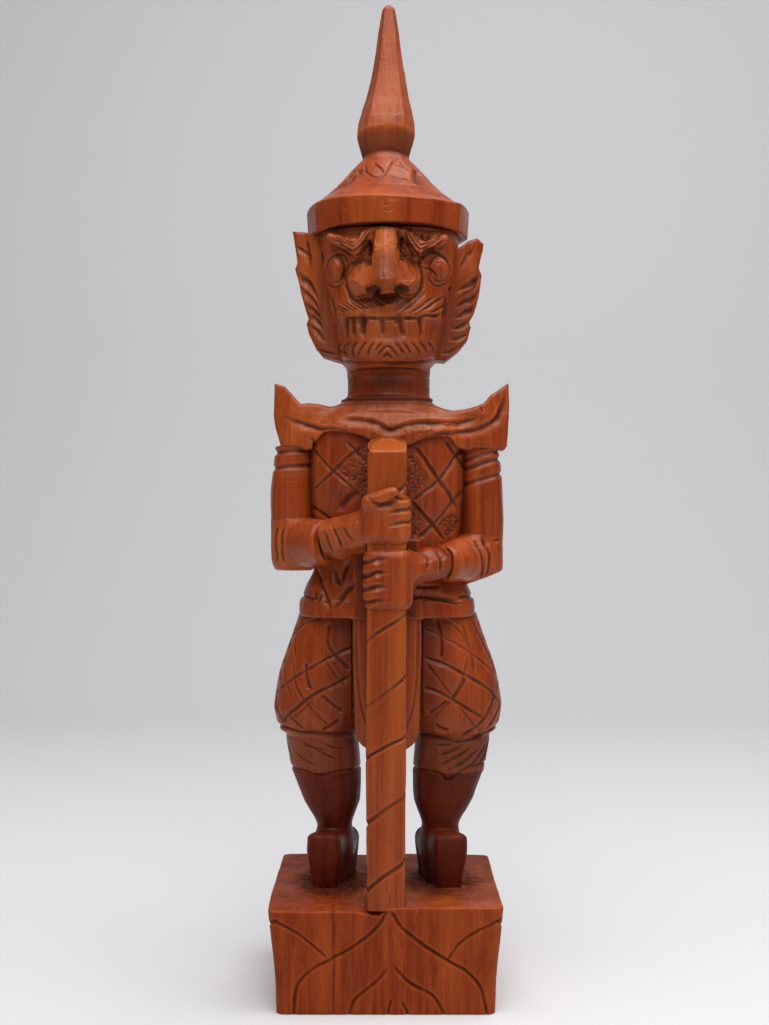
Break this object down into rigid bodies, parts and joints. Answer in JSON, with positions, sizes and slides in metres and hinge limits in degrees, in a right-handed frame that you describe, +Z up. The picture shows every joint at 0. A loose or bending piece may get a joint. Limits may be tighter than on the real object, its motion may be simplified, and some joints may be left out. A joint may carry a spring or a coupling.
{
  "type": "carved guardian figure",
  "caption": "Carved hardwood temple guardian standing on a square base, with a pointed crown, winged collar and both fists on an upright club.",
  "frame": {"origin": "middle of the underside of the base", "axes": "+Z up along the figure, the figure looks towards -Y, +X is towards its own left side"},
  "size_m": [0.0844, 0.077, 0.3575],
  "materials": {
    "carved_teak": "lacquered satin, stained reddish brown",
    "staff_teak": "lacquered satin, stained reddish brown",
    "dowel_wood": "bare"
  },
  "bodies": {
    "root": {"base_block": "carved_teak", "staff": "staff_teak", "right_leg": "carved_teak", "left_leg": "carved_teak", "torso": "carved_teak", "apron_panel": "carved_teak", "shoulder_collar": "carved_teak", "right_upper_arm": "carved_teak", "left_upper_arm": "carved_teak", "right_forearm": "carved_teak", "left_forearm": "carved_teak", "right_hand": "carved_teak", "left_hand": "carved_teak", "head": "carved_teak", "right_ear": "carved_teak", "left_ear": "carved_teak", "crown_cap": "carved_teak", "crown_finial": "carved_teak", "foot_dowels": "dowel_wood", "hip_dowels": "dowel_wood", "shoulder_dowels": "dowel_wood", "elbow_dowels": "dowel_wood", "neck_dowel": "dowel_wood", "crown_dowel": "dowel_wood", "ear_pegs": "dowel_wood"}
  },
  "joints": []
}
